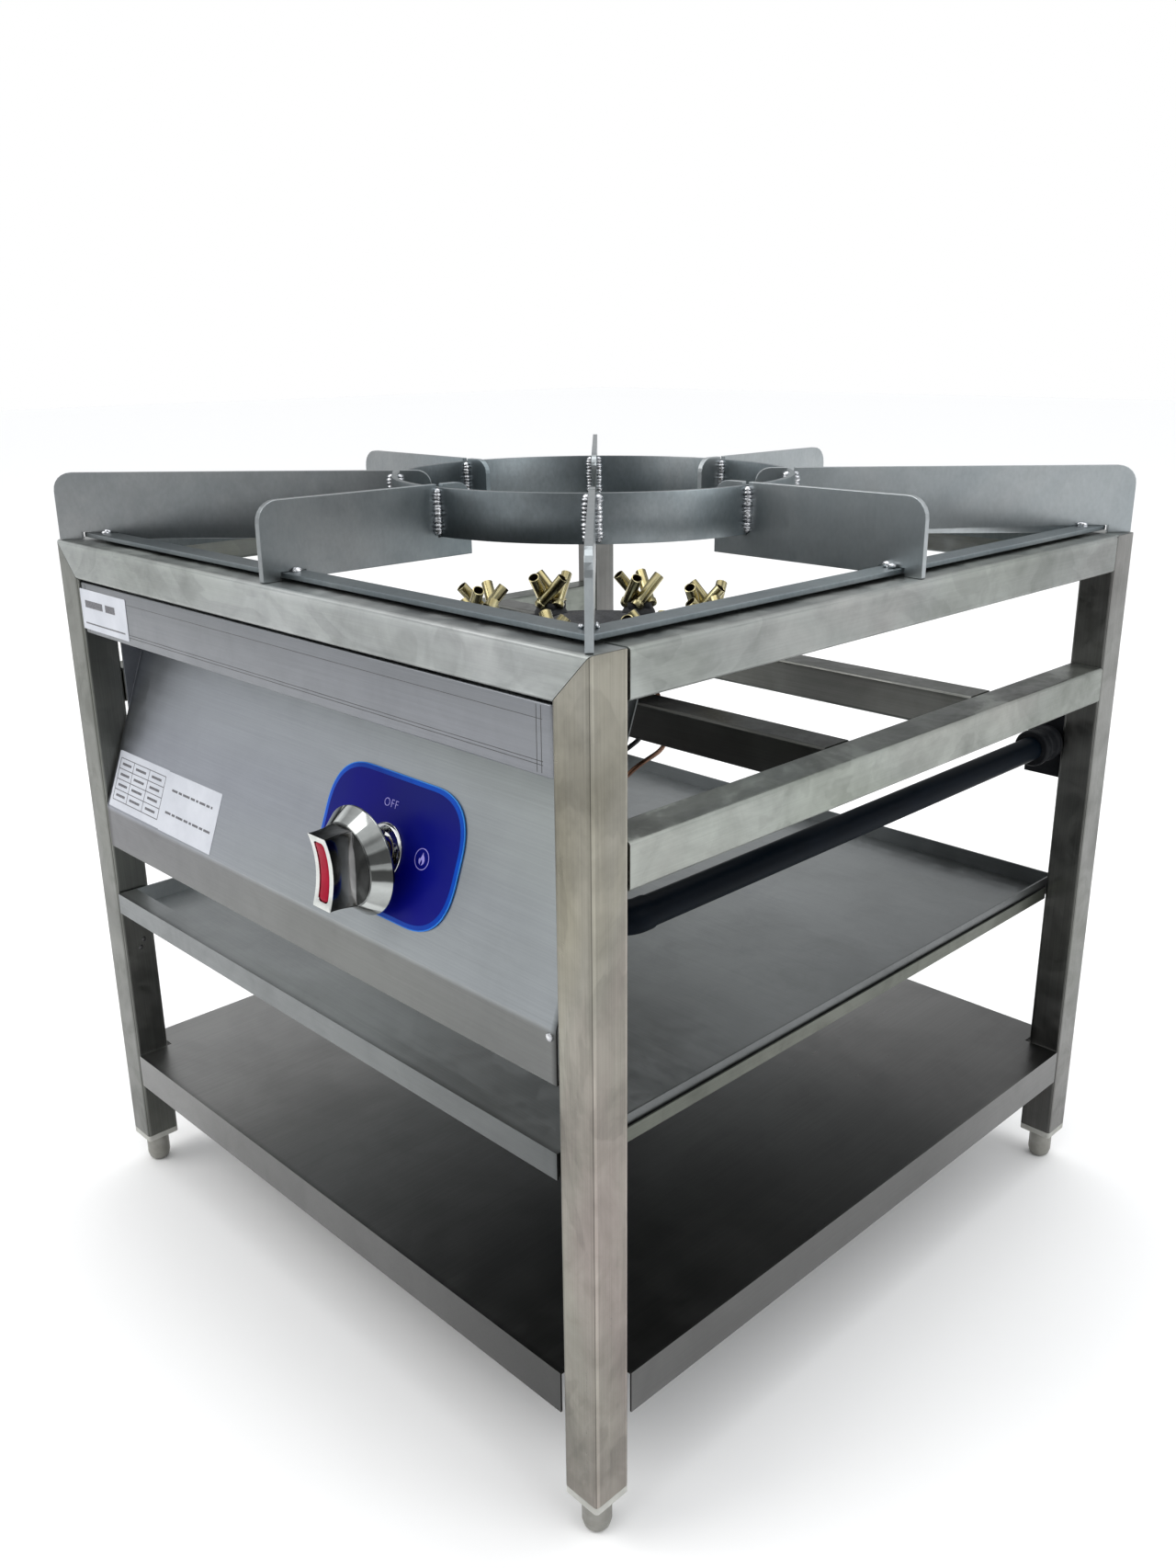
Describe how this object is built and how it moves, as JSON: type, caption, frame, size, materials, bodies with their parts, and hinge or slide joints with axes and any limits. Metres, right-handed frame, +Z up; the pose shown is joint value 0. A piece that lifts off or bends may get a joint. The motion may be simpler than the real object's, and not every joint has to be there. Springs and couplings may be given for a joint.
{
  "type": "gas_burner_stand",
  "caption": "Square-tube stainless gas burner stand with drip tray, bottom shelf, jet burner, push-and-turn control knob and lift-off pan support.",
  "frame": {"origin": "on the floor under the middle of the whole stand, knob included", "axes": "+Z up; front, with the control knob, towards -Y; +X to the right seen from the front; the longest extent runs along Y"},
  "size_m": [0.53, 0.5572, 0.5435],
  "materials": {
    "brushed_tube": "brushed along each tube, finger smudges",
    "satin_sheet": "satin sheet, faint bluish tint",
    "bare_steel": "mill finish flat bar with bright welds",
    "black_paint": "semi-gloss black",
    "cast_iron": "matt black casting",
    "brass": "turned brass",
    "chrome": "polished",
    "red_plastic": "soft gloss",
    "dial_blue": "printed plate with a raised rim",
    "copper": "oxidised copper tube",
    "black_lead": "black sleeve",
    "foot_grey": "moulded grey"
  },
  "bodies": {
    "stand_frame": {"leg_front_left": "brushed_tube", "leg_back_left": "brushed_tube", "leg_front_right": "brushed_tube", "leg_back_right": "brushed_tube", "top_rail_front": "brushed_tube", "top_rail_back": "brushed_tube", "top_rail_left": "brushed_tube", "top_rail_right": "brushed_tube", "mid_rail_left": "brushed_tube", "mid_rail_right": "brushed_tube", "burner_bar_front": "brushed_tube", "burner_bar_back": "brushed_tube", "bottom_shelf": "satin_sheet", "front_strip": "satin_sheet", "control_panel": "satin_sheet", "tray_runner_left": "brushed_tube", "tray_runner_right": "brushed_tube", "dial_plate": "dial_blue", "valve_body": "brass", "gas_pipe": "black_paint", "pipe_elbow": "black_paint", "feed_pipe": "black_paint", "inlet_coupling": "black_paint", "pipe_bracket": "black_paint", "burner_body": "cast_iron", "jet_head_1": "brass", "jet_head_2": "brass", "jet_head_3": "brass", "jet_head_4": "brass", "jet_head_5": "brass", "jet_head_6": "brass", "jet_head_7": "brass", "jet_head_8": "brass", "mixing_tube": "cast_iron", "supply_tube": "bare_steel", "burner_cradle": "bare_steel", "pilot_tube": "copper", "thermocouple": "black_lead", "foot_insert_front_left": "foot_grey", "foot_insert_back_left": "foot_grey", "foot_insert_front_right": "foot_grey", "foot_insert_back_right": "foot_grey"},
    "pan_support": {"trivet_ring": "bare_steel", "trivet_frame": "bare_steel", "trivet_fin_right": "bare_steel", "trivet_fin_back_right": "bare_steel", "trivet_fin_back": "bare_steel", "trivet_fin_back_left": "bare_steel", "trivet_fin_left": "bare_steel", "trivet_fin_front_left": "bare_steel", "trivet_fin_front": "bare_steel", "trivet_fin_front_right": "bare_steel"},
    "tray": {"drip_tray": "satin_sheet"},
    "spindle": {"valve_spindle": "brass"},
    "knob": {"knob_body": "chrome", "knob_insert": "red_plastic"},
    "foot_front_left": {"levelling_foot_front_left": "foot_grey"},
    "foot_front_right": {"levelling_foot_front_right": "foot_grey"},
    "foot_back_left": {"levelling_foot_back_left": "foot_grey"},
    "foot_back_right": {"levelling_foot_back_right": "foot_grey"}
  },
  "joints": [
    {"name": "pan_support_lift", "type": "slide", "parent": "stand_frame", "child": "pan_support", "axis": [0, 0, 1], "range_m": [0, 0.15]},
    {"name": "drip_tray_slide", "type": "slide", "parent": "stand_frame", "child": "tray", "axis": [0, -1, 0], "range_m": [0, 0.46]},
    {"name": "knob_push", "type": "slide", "parent": "stand_frame", "child": "spindle", "axis": [0, 1, 0], "range_m": [0, 0.003], "stiffness_N_per_m": 900},
    {"name": "knob_turn", "type": "hinge", "parent": "spindle", "child": "knob", "pos_m": [0.082, -0.25415, 0.35414], "axis": [0, 1, 0], "range_deg": [0, 90]},
    {"name": "foot_front_left_screw", "type": "slide", "parent": "stand_frame", "child": "foot_front_left", "axis": [0, 0, -1], "range_m": [0, 0.015]},
    {"name": "foot_front_right_screw", "type": "slide", "parent": "stand_frame", "child": "foot_front_right", "axis": [0, 0, -1], "range_m": [0, 0.015]},
    {"name": "foot_back_left_screw", "type": "slide", "parent": "stand_frame", "child": "foot_back_left", "axis": [0, 0, -1], "range_m": [0, 0.015]},
    {"name": "foot_back_right_screw", "type": "slide", "parent": "stand_frame", "child": "foot_back_right", "axis": [0, 0, -1], "range_m": [0, 0.015]}
  ]
}
